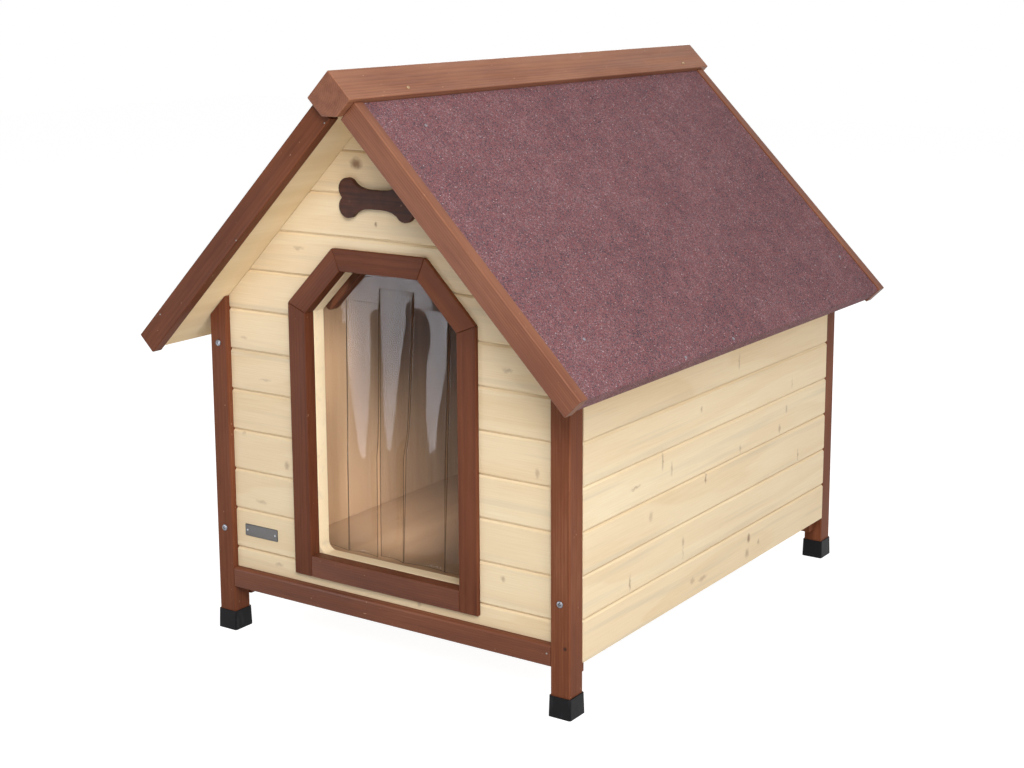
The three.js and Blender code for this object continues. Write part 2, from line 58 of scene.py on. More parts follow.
# ------------------------------------------------------------ sizes the frame doesn't name
PITCH = math.radians(45.5)  # slope of the roof
BOARD_PITCH = 62 * MM  # cover height of one board
FIRST_JOINT = 132 * MM  # height of the lowest joint between two boards
SHEET = 2 * MM  # thickness of the clear plastic
EDGE = 0.8 * MM  # rounding of most edges
BOARD_EDGE = 0.5 * MM
POST_EDGE = 0.7 * MM
TRIM_EDGE = 1.2 * MM  # of the door frame, the barge boards and the bone
BEAM_EDGE = 1.5 * MM

# camera, fitted to the photograph
CAMERA_PLACE = Vector((1.5082, -2.2815, 0.9879))
CAMERA_TURN = math.radians(34.277)  # left of +Y
CAMERA_TILT = math.radians(10.517)  # below the horizon
CAMERA_ROLL = math.radians(-0.295)
CAMERA_SENSOR = 36  # mm, as is the lens
CAMERA_LENS = 61.5
CAMERA_SHIFT = -0.08
CAMERA_RANGE = (0.05, 60)  # the nearest and farthest that it sees

# lights: how bright the face of each softbox is, where 1 is white
KEY_LIGHT = 12.7
SIDE_LIGHT = 4.8
TOP_LIGHT = 1.2
BACK_LIGHT = 3.2
LEFT_LIGHT = 0.6
CARD_LIGHT = 9.0  # the card that the curtain mirrors
CABIN_LIGHT = 9.4
WALL_LIGHT = 0.45 * CABIN_LIGHT
DOORWAY_LIGHT = 1.15
AMBIENT = 0.14

FLOOR_HALF = 9.0
FLOOR_DROP = 0.2 * MM  # keeps the floor clear of the undersides of the feet
FLOOR_GLOW = 0.95  # what it gives off where it is seen, where 1 is white


# ------------------------------------------------------------ colours of the materials
def colour(red, green, blue):
    """A colour given in display values from 0 to 255, as the linear value that a shader takes."""
    linear = []
    for value in (red, green, blue):
        share = value / 255
        linear.append(share / 12.92 if share <= 0.04045 else ((share + 0.055) / 1.055) ** 2.4)
    return (*linear, 1)


WHITE = (1, 1, 1, 1)
STAIN_DARK = colour(80, 41, 26)
STAIN = colour(119, 69, 46)
STAIN_PALE = colour(160, 108, 79)
STAIN_NICK = colour(196, 150, 118)
PINE_PALE = colour(243, 225, 190)
PINE = colour(236, 213, 176)
PINE_DEEP = colour(227, 200, 157)
PINE_GREY = colour(205, 189, 162)
PINE_KNOT = colour(150, 118, 92)
PLY_PALE = colour(182, 149, 116)
PLY_DEEP = colour(162, 129, 98)
DECK_PALE = colour(244, 222, 184)
DECK_DEEP = colour(233, 207, 164)
BONE_WOOD = colour(84, 51, 39)
BONE_GRAIN = colour(58, 34, 26)
# The granules of the felt, each sort with its place on a scale from 0, the darkest, to 1, the palest.
GRANULES = [
    (0.02, colour(66, 54, 62)), (0.2, colour(98, 82, 88)), (0.42, colour(122, 84, 86)),
    (0.62, colour(134, 76, 78)), (0.82, colour(138, 90, 92)), (1.0, colour(152, 122, 126))]
GRANULE_SPARK = colour(196, 184, 186)
GRANULE_PIT = colour(48, 38, 42)
PLASTIC = colour(21, 21, 23)
PLASTIC_SCUFF = colour(74, 74, 78)
CLEAR_SHEET = colour(58, 55, 58)
CLEAR_MARK = colour(76, 72, 74)
CLEAR_EDGE = colour(88, 74, 62)
METAL_DULL = colour(96, 94, 96)
ZINC = colour(138, 139, 145)
BRASS = colour(176, 150, 116)
BRONZE = colour(96, 70, 60)
NAIL_STEEL = colour(138, 130, 122)
CLOUT_STEEL = colour(150, 150, 156)
PLATE = colour(88, 86, 84)
PIN_METAL = colour(170, 170, 175)
FLOOR_PALE = colour(227, 227, 227)
FLOOR_GREY = colour(220, 220, 220)
FLOOR_SHADOW = colour(150, 150, 150)
CARD_TINT = (0.9, 0.92, 1)

# How much lighter or darker than the rest each piece is made. This is partly how the piece took the stain and
# partly painted light: the ridge beam and the front right barge board are made paler to stand in for the
# light from above and the sheen that they catch.
STAIN_AND_LIGHT_SHIFTS = {
    "ridge_beam": 0.28, "front_right_barge_board": 0.11, "front_left_barge_board": -0.14,
    "door_frame_left_jamb": -0.22, "door_frame_right_jamb": -0.14, "door_frame_head": -0.16,
    "door_frame_left_brace": -0.18, "door_frame_right_brace": -0.1, "door_frame_sill": -0.2,
    "front_bottom_rail": -0.13,
}
# How strongly a stained piece mirrors, where its coat is glossier than the rest.
STAIN_GLOSS = {
    "ridge_beam": 0.34, "front_right_barge_board": 0.28, "rear_right_barge_board": 0.28,
    "front_bottom_rail": 0.2, "door_frame_sill": 0.2,
}
STAIN_GLOSS_PLAIN = 0.08

# Sockets of a Mix node for colours, whose names aren't unique.
MIX_SHARE, MIX_FIRST, MIX_SECOND, MIX_RESULT = 0, 6, 7, 2

# A noise mostly keeps between these two values.
NOISE_LOW = 0.3
NOISE_HIGH = 0.7

LOG_LENGTH = 9  # metres of wood, out of which each piece or board shows a stretch of its own
LOG_BENDS = (9, 9, 1.3)  # how quickly its rings bend, across it and along it
WALL_STEP = 17.3  # sets the boards of one wall apart from those of the next


# ------------------------------------------------------------ materials
class Nodes:
    """A tree of shader nodes, with short calls for what goes into it."""

    def __init__(self, tree):
        self.tree = tree
        self.tree.nodes.clear()

    def node(self, kind, inputs=None, **settings):
        """Adds a node. Each input is a value or another node's output."""
        made = self.tree.nodes.new("ShaderNode" + kind)
        for key, value in settings.items():
            setattr(made, key, value)
        for key, value in (inputs or {}).items():
            if isinstance(value, bpy.types.NodeSocket):
                self.tree.links.new(value, made.inputs[key])
            else:
                made.inputs[key].default_value = value
        return made

    def add(self, kind, inputs=None, output=0, **settings):
        """Adds a node and gives one of its outputs."""
        return self.node(kind, inputs, **settings).outputs[output]

    def math(self, operation, first, second=0.0, third=0.0):
        return self.add("Math", {0: first, 1: second, 2: third}, operation=operation)

    def total(self, *values):
        """The sum of several values."""
        result = values[0]
        for value in values[1:]:
            result = self.math("ADD", result, value)
        return result

    def vector(self, operation, first, second=(0, 0, 0)):
        return self.add("VectorMath", {0: first, 1: second}, operation=operation)

    def dot(self, first, second):
        return self.add("VectorMath", {0: first, 1: second}, "Value", operation="DOT_PRODUCT")

    def length(self, vector):
        return self.add("VectorMath", {0: vector}, "Value", operation="LENGTH")

    def scaled(self, vector, x, y, z):
        return self.vector("MULTIPLY", vector, (x, y, z))

    def parts(self, vector):
        """The three numbers that a vector or a colour holds."""
        return self.node("SeparateXYZ", {0: vector}).outputs

    def joined(self, x, y, z):
        return self.add("CombineXYZ", {0: x, 1: y, 2: z})

    def place(self):
        """Places on the object, in the frame that the whole model shares."""
        return self.add("TexCoord", output="Object")

    def noise(self, vector, scale, detail=2.0, roughness=0.5, output="Fac"):
        inputs = {"Vector": vector, "Scale": scale, "Detail": detail, "Roughness": roughness}
        return self.add("TexNoise", inputs, output)

    def grain(self, space, along, scale, detail=2.0, roughness=0.5):
        """Noise drawn out along Z, where it changes along times as quickly as across."""
        return self.noise(self.scaled(space, 1, 1, along), scale, detail, roughness)

    def bent(self, vector, space, scale, amount):
        """A vector moved unevenly in X and Y, by up to half of amount each way."""
        field = self.noise(space, scale, output="Color")
        centred = self.vector("SUBTRACT", field, (0.5, 0.5, 0.5))
        return self.vector("ADD", vector, self.scaled(centred, amount, amount, 0))

    def spread(self, value, low, high, out_low=0.0, out_high=1.0, smooth=False):
        """Maps low..high to out_low..out_high, and holds the ends."""
        inputs = {"Value": value, "From Min": low, "From Max": high, "To Min": out_low, "To Max": out_high}
        kind = "SMOOTHSTEP" if smooth else "LINEAR"
        return self.add("MapRange", inputs, interpolation_type=kind)

    def vary(self, noise, low=0.0, high=1.0):
        """Maps the range that a noise mostly keeps to, to low..high."""
        return self.spread(noise, NOISE_LOW, NOISE_HIGH, low, high)

    def sway(self, noise, amount):
        """Maps the range that a noise mostly keeps to, to amount below and above 0."""
        return self.vary(noise, -amount, amount)

    def blend(self, share, first, second):
        """From the first colour to the second, as share goes from 0 to 1."""
        inputs = {MIX_SHARE: share, MIX_FIRST: first, MIX_SECOND: second}
        return self.add("Mix", inputs, MIX_RESULT, data_type="RGBA")

    def ramp(self, value, stops):
        """A colour from a row of stops, each a place from 0 to 1 and the colour there."""
        made = self.node("ValToRGB", {0: value})
        elements = made.color_ramp.elements
        while len(elements) < len(stops):
            elements.new(0.5)
        for element, (position, shade) in zip(elements, stops):
            element.position = position
            element.color = shade
        return made.outputs[0]

    def bump(self, height, distance, strength=1.0):
        return self.add("Bump", {"Height": height, "Distance": distance, "Strength": strength})

    def seen(self):
        """1 where a ray comes from the camera, or off or through something glossy, and otherwise 0."""
        path = self.node("LightPath").outputs
        straight = self.math("MAXIMUM", path["Is Camera Ray"], path["Is Glossy Ray"])
        return self.math("MAXIMUM", straight, path["Is Transmission Ray"])

    def end(self, shader, kind="OutputMaterial"):
        self.node(kind, {"Surface": shader})


class Surface(Nodes):
    """The nodes of one new material."""

    def __init__(self, name):
        self.material = bpy.data.materials.new(name)
        self.material.use_nodes = True
        super().__init__(self.material.node_tree)

    def finish(self, **inputs):
        """Ends the material in one Principled shader. Names take a space where they have an underscore."""
        named = {key.replace("_", " "): value for key, value in inputs.items()}
        self.end(self.add("BsdfPrincipled", named))
        return self.material


def grain_turn(along):
    """The turn that brings the way the grain runs to Z."""
    return Vector(along).normalized().rotation_difference(Z_AXIS)


def grain_space(surface, turn, start=(0, 0, 0)):
    """Places on the object, turned and then moved by start."""
    inputs = {"Vector": surface.place(), "Location": start, "Rotation": turn.to_euler("XYZ")}
    return surface.add("Mapping", inputs, vector_type="POINT")


def node_space(surface, node, along, rng):
    """Places from the middle of a CAD node, with Z along its grain and a random start on that."""
    lowest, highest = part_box(node)
    turn = grain_turn(along)
    start = turn @ ((lowest + highest) / -2) + Vector((0, 0, rng.uniform(1, LOG_LENGTH)))
    return grain_space(surface, turn, start)


def ring_tone(surface, space, pith, spacing, waver):
    """Growth rings round a line beside the piece: 0 in the pale wood, rising to 1 before each ring's end."""
    bent = surface.bent(space, surface.scaled(space, *LOG_BENDS), 1.0, waver)
    around = surface.vector("ADD", bent, pith)
    radius = surface.length(surface.scaled(around, 1, 1, 0))
    share = surface.math("FRACT", surface.math("DIVIDE", radius, spacing))
    rise = surface.spread(share, 0.25, 0.9, smooth=True)
    fall = surface.spread(share, 0.92, 1.0, 1.0, 0.0, smooth=True)
    return surface.math("MULTIPLY", rise, fall)


def end_grain(surface, along):
    """1 on faces that are cut across the grain, and 0 on those that run with it."""
    normal = surface.add("NewGeometry", output="Normal")
    facing = surface.dot(normal, Vector(along).normalized())
    return surface.spread(surface.math("ABSOLUTE", facing), 0.8, 0.95)


def stained(node, along):
    """Reddish-brown stained spruce: rings, fibres and an uneven coat."""
    rng = random.Random(node)
    surface = Surface("stain_" + node)
    space = node_space(surface, node, along, rng)
    angle = rng.uniform(0, 2 * math.pi)
    depth = rng.uniform(25, 45) * MM
    pith = (depth * math.cos(angle), depth * math.sin(angle), 0)
    rings = ring_tone(surface, space, pith, 3.4 * MM, 9 * MM)
    fibres = surface.grain(space, 0.03, 900, 3.0, 0.6)
    streaks = surface.grain(space, 0.05, 110)
    coat = surface.grain(space, 0.2, 26, 3.0)
    # The shift is partly the piece's own stain and partly painted light, which makes the ridge beam and the
    # front right barge board paler.
    plain = 0.5 + STAIN_AND_LIGHT_SHIFTS.get(node, 0.0) + rng.uniform(-0.03, 0.03)
    tone = surface.total(
        surface.math("MULTIPLY_ADD", rings, -0.1, plain),
        surface.sway(fibres, 0.08),
        surface.sway(streaks, 0.07),
        surface.sway(coat, 0.14))
    tone = surface.math("MULTIPLY_ADD", end_grain(surface, along), -0.16, tone)
    shade = surface.ramp(tone, [(0.0, STAIN_DARK), (0.5, STAIN), (1.0, STAIN_PALE)])
    nicks = surface.spread(surface.grain(space, 0.35, 300, 1.0), 0.76, 0.8, 0.0, 0.55)
    relief = surface.math("ADD", fibres, surface.math("MULTIPLY", rings, 0.4))
    return surface.finish(
        Base_Color=surface.blend(nicks, shade, STAIN_NICK),
        Specular_IOR_Level=STAIN_GLOSS.get(node, STAIN_GLOSS_PLAIN),
        Roughness=surface.vary(streaks, 0.42, 0.56),
        Normal=surface.bump(relief, 0.15 * MM, 0.6))


def knot_shares(surface, run, up, knots):
    """How far each place lies inside a knot, from 0 to 1. END_KNOTS says what a knot holds."""
    flat = surface.joined(run, up, 0)
    flat = surface.bent(flat, flat, 160, 7 * MM)
    total = None
    for middle_run, middle_up, half_run, half_up, strength in knots:
        moved = surface.vector("SUBTRACT", flat, (middle_run * MM, middle_up * MM, 0))
        distance = surface.length(surface.scaled(moved, 1 / (half_run * MM), 1 / (half_up * MM), 0))
        inside = surface.spread(distance, 0.15, 1.15, strength, 0.0, smooth=True)
        total = inside if total is None else surface.math("MAXIMUM", total, inside)
    return total


def board_rows(surface, z):
    """The number of the board at a height, and how far above that board's middle the place lies."""
    turn = surface.math("DIVIDE", surface.math("SUBTRACT", z, FIRST_JOINT), BOARD_PITCH)
    share = surface.math("SUBTRACT", surface.math("FRACT", turn), 0.5)
    return surface.math("FLOOR", turn), surface.math("MULTIPLY", share, BOARD_PITCH)


def board_lot(surface, index, seed):
    """Three random numbers from 0 to 1 for each board, which choose the log that it was cut from."""
    number = surface.math("ADD", index, seed * WALL_STEP)
    return surface.parts(surface.add("TexWhiteNoise", {"W": number}, "Color", noise_dimensions="1D"))


def boards(name, seed, knots=(), along_y=False, joints=True):
    """Varnished pine boards that run along X or along Y. Without joints they are one wide board."""
    surface = Surface(name)
    x, y, z = surface.parts(surface.place())
    run, depth = (y, x) if along_y else (x, y)
    index, up = board_rows(surface, z) if joints else (float(seed), z)
    lot = board_lot(surface, index, seed)
    space = surface.joined(depth, up, surface.math("MULTIPLY_ADD", lot[0], LOG_LENGTH, run))
    pith_up = surface.math("MULTIPLY_ADD", lot[1], 60 * MM, -30 * MM)
    pith_depth = surface.math("MULTIPLY_ADD", lot[2], 35 * MM, 30 * MM)
    rings = ring_tone(surface, space, surface.joined(pith_depth, pith_up, 0), 3.8 * MM, 16 * MM)
    fibres = surface.grain(space, 0.02, 620, 3.0, 0.6)
    streaks = surface.grain(space, 0.04, 60)
    clouds = surface.grain(space, 0.22, 16)
    tone = surface.total(
        surface.math("MULTIPLY_ADD", rings, -0.24, 0.64),
        surface.sway(fibres, 0.2),
        surface.sway(clouds, 0.16))
    tone = surface.math("MULTIPLY_ADD", lot[0], 0.16, surface.math("SUBTRACT", tone, 0.08))
    shade = surface.ramp(tone, [(0.0, PINE_DEEP), (0.5, PINE), (1.0, PINE_PALE)])
    shade = surface.blend(surface.spread(streaks, 0.56, 0.78, 0.0, 0.55), shade, PINE_GREY)
    if knots:
        shade = surface.blend(knot_shares(surface, run, z, knots), shade, PINE_KNOT)
    if joints:
        edge = surface.math("SUBTRACT", BOARD_PITCH / 2, surface.math("ABSOLUTE", up))
        line = surface.spread(edge, 0.2 * MM, 1.2 * MM, 0.28, 0.0, smooth=True)
        shade = surface.blend(line, shade, PINE_KNOT)
    relief = surface.math("ADD", fibres, surface.math("MULTIPLY", rings, 0.5))
    return surface.finish(
        Base_Color=shade,
        Specular_IOR_Level=0.15,
        Roughness=surface.vary(clouds, 0.36, 0.5),
        Normal=surface.bump(relief, 0.12 * MM, 0.5))


def plywood(name, along, seed, pale=PLY_PALE, deep=PLY_DEEP):
    """Bare wooden panels, whose grain runs the way of along."""
    surface = Surface(name)
    space = grain_space(surface, grain_turn(along), (seed * 3.1, seed * 1.7, seed))
    bands = surface.grain(space, 0.06, 36, 3.0)
    fibres = surface.grain(space, 0.02, 700)
    tone = surface.math("ADD", surface.vary(bands), surface.sway(fibres, 0.12))
    return surface.finish(
        Base_Color=surface.ramp(tone, [(0.0, deep), (1.0, pale)]),
        Specular_IOR_Level=0.2,
        Roughness=surface.vary(bands, 0.55, 0.7),
        Normal=surface.bump(fibres, 0.1 * MM, 0.4))


def felt():
    """Mineral felt: stone granules in bitumen, mixed unevenly."""
    surface = Surface("mineral_felt")
    place = surface.place()
    granules = surface.node("TexVoronoi", {"Vector": place, "Scale": 780}).outputs
    lot = surface.parts(granules["Color"])
    patches = surface.noise(place, 9, 4.0, 0.62)
    blots = surface.noise(place, 42, 3.0, 0.6)
    sort = surface.total(lot[0], surface.sway(patches, 0.1), surface.sway(blots, 0.1))
    shade = surface.ramp(sort, GRANULES)
    shade = surface.blend(surface.spread(lot[1], 0.992, 0.998), shade, GRANULE_SPARK)
    shade = surface.blend(surface.spread(lot[2], 0.06, 0.0), shade, GRANULE_PIT)
    lumps = surface.math("SUBTRACT", 1.0, surface.math("MULTIPLY", granules["Distance"], 1.4))
    relief = surface.math("ADD", lumps, surface.math("MULTIPLY", lot[2], 0.8))
    return surface.finish(
        Base_Color=shade,
        Specular_IOR_Level=0.2,
        Roughness=surface.spread(lot[1], 0.0, 1.0, 0.6, 0.95),
        Normal=surface.bump(relief, 0.6 * MM, 0.7))


def dark_wood(name, along):
    """Wood stained nearly black, with its grain just showing."""
    surface = Surface(name)
    space = grain_space(surface, grain_turn(along))
    fibres = surface.grain(space, 0.06, 240, 3.0)
    coat = surface.noise(space, 60)
    tone = surface.math("ADD", surface.vary(fibres), surface.sway(coat, 0.3))
    return surface.finish(
        Base_Color=surface.ramp(tone, [(0.0, BONE_GRAIN), (1.0, BONE_WOOD)]),
        Specular_IOR_Level=0.1,
        Roughness=surface.vary(fibres, 0.4, 0.52),
        Normal=surface.bump(fibres, 0.12 * MM, 0.5))


def moulded_plastic():
    """Black plastic with a fine grit and a few scuffs."""
    surface = Surface("black_plastic")
    place = surface.place()
    grit = surface.noise(place, 1400)
    scuff = surface.grain(place, 0.4, 90, 4.0, 0.65)
    return surface.finish(
        Base_Color=surface.blend(surface.spread(scuff, 0.55, 0.8, 0.0, 0.3), PLASTIC, PLASTIC_SCUFF),
        Specular_IOR_Level=0.1,
        Roughness=surface.vary(scuff, 0.34, 0.5),
        Normal=surface.bump(grit, 0.08 * MM, 0.35))


def metal(name, shade, roughness, stretch=1):
    """Bare metal whose fine scratches are drawn out along X by the factor stretch."""
    surface = Surface(name)
    place = surface.place()
    scratches = surface.noise(surface.scaled(place, 1 / stretch, 1, 1), 2600, 3.0)
    dull = surface.noise(place, 300)
    return surface.finish(
        Base_Color=surface.blend(surface.spread(dull, 0.35, 0.75, 0.0, 0.4), shade, METAL_DULL),
        Metallic=1.0,
        Roughness=surface.vary(scratches, roughness - 0.08, roughness + 0.1),
        Normal=surface.bump(scratches, 0.02 * MM, 0.3))


def clear_plastic(name, shade, alpha, roughness):
    """Clear sheet. Its haze is uneven, and faint marks run down it."""
    surface = Surface(name)
    place = surface.place()
    marks = surface.grain(place, 0.12, 45, 3.0)
    return surface.finish(
        Base_Color=surface.blend(surface.spread(marks, 0.35, 0.7), shade, CLEAR_MARK),
        Alpha=alpha,
        Roughness=surface.vary(marks, roughness, roughness + 0.02),
        Specular_IOR_Level=1.0,
        Normal=surface.bump(surface.noise(place, 14), 0.5 * MM, 0.1))


# ------------------------------------------------------------ making meshes
def piece(name, shapes, material, body="house"):
    """One mesh object of separate closed shapes, each a pair of vertices and faces."""
    vertices, faces = [], []
    for points, loops in shapes:
        first = len(vertices)
        vertices.extend(points)
        faces.extend([first + i for i in loop] for loop in loops)
    mesh = bpy.data.meshes.new(name)
    mesh.from_pydata([tuple(v) for v in vertices], [], faces)
    mesh.validate()
    mesh.materials.append(material)
    made = bpy.data.objects.new(name, mesh)
    bpy.context.scene.collection.objects.link(made)
    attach(made, body)
    return made


def turned(point, normal, spin=0.0):
    """The matrix that stands a shape, drawn up +Z, on a point of a surface."""
    turn = Z_AXIS.rotation_difference(Vector(normal).normalized()).to_matrix().to_4x4()
    return Matrix.Translation(Vector(point)) @ turn @ Matrix.Rotation(spin, 4, "Z")


def ring_faces(rings, sides):
    """The faces of a closed shape of stacked rings: its walls, its first end and its last."""
    loops = []
    for k in range(rings - 1):
        for i in range(sides):
            j = (i + 1) % sides
            loops.append((k * sides + i, k * sides + j, (k + 1) * sides + j, (k + 1) * sides + i))
    last = (rings - 1) * sides
    loops.append(tuple(reversed(range(sides))))
    loops.append(tuple(last + i for i in range(sides)))
    return loops


def disc_shape(matrix, profile, sides, dip=None):
    """A round head closed below, from the radius and height of its rings. dip(x, y) lowers its face."""
    points = []
    for radius, height in profile:
        for i in range(sides):
            angle = 2 * math.pi * i / sides
            x, y = radius * math.cos(angle), radius * math.sin(angle)
            points.append(matrix @ Vector((x, y, height - (dip(x, y) if dip else 0.0))))
    return points, ring_faces(len(profile), sides)


def screw_head(point, normal, radius, spin=0.4):
    """A pan head with a cross recess."""
    height = 0.42 * radius
    rim = 0.06 * radius
    slot_half = 0.17 * radius
    slot_reach = 0.62 * radius

    def recess(x, y):
        across = min(abs(x), abs(y))
        far = math.hypot(x, y)
        deep = max(0.0, min(1.0, (slot_half - across) / (0.3 * slot_half)))
        fade = max(0.0, min(1.0, (slot_reach - far) / (0.25 * slot_reach)))
        return 0.75 * height * deep * fade

    steps = 22
    sides = 72
    profile = [(radius * 0.97, 0.0)]
    for k in range(steps + 1):
        share = 1 - k / steps
        dome = height * math.sqrt(max(0.0, 1 - share ** 4))
        profile.append((max(radius * share, 0.02 * radius), dome + rim))
    return disc_shape(turned(point, normal, spin), profile, sides, recess)


def small_head(point, normal, radius, shares, sides):
    """A low round head, whose rings have radii and heights that are shares of its own radius."""
    profile = [(radius * width, radius * height) for width, height in shares]
    return disc_shape(turned(point, normal), profile, sides)


def nail_head(point, normal, radius):
    """A small flat head that stands a little proud, with a dimple."""
    shares = [(1, 0.0), (1, 0.25), (0.86, 0.36), (0.4, 0.3), (0.1, 0.26)]
    return small_head(point, normal, radius, shares, 24)


def wood_plug(point, normal, radius):
    """The end of a wooden peg, slightly domed."""
    shares = [(1, 0.0), (1, 0.2), (0.8, 0.34), (0.3, 0.4)]
    return small_head(point, normal, radius, shares, 28)


# ------------------------------------------------------------ dressing the CAD nodes
def soften(made, width, segments, angle):
    """Rounds the sharp edges of a faceted solid and keeps its flat faces flat."""
    mesh = made.data
    custom = mesh.attributes.get("custom_normal")
    if custom is not None:
        mesh.attributes.remove(custom)
    mesh.polygons.foreach_set("use_smooth", [True] * len(mesh.polygons))
    weld = made.modifiers.new("weld", "WELD")
    weld.merge_threshold = 0.01 * MM
    flat = made.modifiers.new("flat", "DECIMATE")
    flat.decimate_type = "DISSOLVE"
    flat.angle_limit = math.radians(0.5)
    bevel = made.modifiers.new("bevel", "BEVEL")
    bevel.width = width
    bevel.segments = segments
    bevel.limit_method = "ANGLE"
    bevel.angle_limit = math.radians(angle)
    bevel.miter_outer = "MITER_ARC"
    normals = made.modifiers.new("normals", "WEIGHTED_NORMAL")
    normals.keep_sharp = True


def dress(node, material, width=EDGE, segments=2, angle=32):
    """Gives a CAD node its material, and rounds its edges that turn by more than angle, unless width is 0."""
    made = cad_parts[node]
    made.data.materials.clear()
    made.data.materials.append(material)
    if width:
        soften(made, width, segments, angle)


def dress_stained(node, along, width=EDGE, segments=2):
    dress(node, stained(node, along), width, segments)


def slope(side):
    """The direction down a roof slope, along which its barge boards run."""
    return Vector((side * math.cos(PITCH), 0, -math.sin(PITCH)))


def out_of(side):
    """The direction square out of a roof slope."""
    return Vector((side * math.sin(PITCH), 0, math.cos(PITCH)))


def reach(node, direction):
    """How far a CAD node reaches in a direction, from the origin."""
    return max(direction.dot(v.co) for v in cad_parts[node].data.vertices)


# The knots of each wall, in mm: where the middle lies along the boards and up from the ground, then half the
# length along the boards and half the height, and last, from 0 to 1, how dark the knot is.
END_KNOTS = {
    "front_gable_boards": [(-39, 734, 13, 10, 0.95), (-6, 651, 4, 4, 0.85), (-150, 606, 12, 4, 0.35),
                           (120, 700, 5, 6, 0.5)],
    "front_left_boards": [(-184, 276, 6, 7, 0.5), (-268, 314, 5, 4, 0.3), (-237, 211, 13, 4, 0.35),
                          (-222, 402, 14, 3, 0.3), (-262, 462, 9, 3, 0.3)],
    "front_right_boards": [(215, 470, 10, 4, 0.4), (262, 335, 4, 9, 0.4), (205, 176, 5, 5, 0.5)],
    "front_bottom_board": [(-205, 118, 10, 4, 0.4), (60, 110, 5, 5, 0.4)],
    "rear_wall_boards": [(-190, 205, 6, 9, 0.6), (110, 265, 4, 13, 0.5), (30, 380, 12, 4, 0.5),
                         (-120, 500, 6, 6, 0.7), (160, 560, 4, 9, 0.5), (-20, 690, 8, 7, 0.7),
                         (230, 120, 7, 6, 0.6), (-250, 360, 3, 12, 0.4)],
}
SIDE_KNOTS = {
    "right": [
        (-158, 305, 3, 17, 0.55), (-131, 287, 3, 13, 0.4), (-26, 247, 3, 10, 0.75), (-42, 357, 4, 6, 0.5),
        (226, 269, 5, 10, 0.55), (250, 297, 4, 8, 0.45), (269, 336, 2, 13, 0.4), (78, 407, 3, 15, 0.45),
        (87, 267, 3, 9, 0.4), (298, 208, 2, 13, 0.55), (-234, 284, 17, 3, 0.5), (-191, 231, 7, 9, 0.35),
        (-94, 166, 5, 10, 0.45), (-94, 150, 2, 16, 0.3), (-249, 148, 3, 14, 0.6), (122, 113, 6, 9, 0.9),
        (117, 89, 8, 9, 0.5), (-31, 92, 16, 5, 0.45), (-63, 97, 9, 6, 0.4), (157, 97, 5, 5, 0.5)],
    "left": [
        (210, 318, 5, 8, 0.6), (-60, 262, 3, 14, 0.5), (-240, 352, 6, 5, 0.5), (60, 168, 4, 12, 0.55),
        (300, 140, 8, 7, 0.7), (-150, 105, 14, 4, 0.45), (-300, 215, 3, 13, 0.45), (130, 402, 4, 7, 0.5)],
}


def dress_wood():
    for end in ENDS:
        dress_stained(end + "_bottom_rail", X_AXIS)
        for name, side in SIDES.items():
            dress_stained(f"{end}_{name}_post", Z_AXIS, POST_EDGE)
            dress_stained(f"{end}_{name}_batten", Z_AXIS, POST_EDGE)
            dress_stained(f"{end}_{name}_barge_board", slope(side), TRIM_EDGE, 3)
    for name, side in SIDES.items():
        dress_stained(f"door_frame_{name}_jamb", Z_AXIS, TRIM_EDGE, 3)
        dress_stained(f"door_frame_{name}_brace", slope(side), TRIM_EDGE, 3)
        dress_stained(f"curtain_clamp_{name}", slope(side))
    dress_stained("door_frame_head", X_AXIS, TRIM_EDGE, 3)
    dress_stained("door_frame_sill", X_AXIS, TRIM_EDGE, 3)
    dress_stained("curtain_clamp_head", X_AXIS)
    dress_stained("ridge_beam", Y_AXIS, BEAM_EDGE, 3)
    dress("bone_ornament", dark_wood("dark_bone_wood", X_AXIS), TRIM_EDGE, 3, angle=60)


def dress_walls():
    for seed, (node, knots) in enumerate(END_KNOTS.items(), start=1):
        dress(node, boards("pine_" + node, seed, knots), BOARD_EDGE, angle=20)
    for seed, (name, knots) in enumerate(SIDE_KNOTS.items(), start=11):
        node = name + "_wall_boards"
        dress(node, boards("pine_" + node, seed, knots, along_y=True), BOARD_EDGE, angle=20)
        dress(name + "_roof_deck", plywood("deck_" + name, Y_AXIS, seed + 10, DECK_PALE, DECK_DEEP))
    dress("front_inner_panel", boards("pine_doorway", seed=31, joints=False))
    for seed, node in enumerate(("left_inner_panel", "right_inner_panel", "rear_inner_panel"), start=1):
        dress(node, plywood("ply_" + node, Z_AXIS, seed))
    dress("floor_panel", plywood("ply_floor", Y_AXIS, seed=5))
    for name in SIDES:
        dress(name + "_floor_bearer", plywood(f"ply_{name}_bearer", Y_AXIS, seed=6))


def dress_roof_and_feet():
    covering = felt()
    cap = moulded_plastic()
    for name in SIDES:
        dress(name + "_roof_felt", covering, EDGE, 3)
        for end in ENDS:
            dress(f"{end}_{name}_foot_cap", cap, EDGE, 3, angle=40)


# ------------------------------------------------------------ curtain
STRIP_COLUMNS = 28
STRIP_STEPS = 72
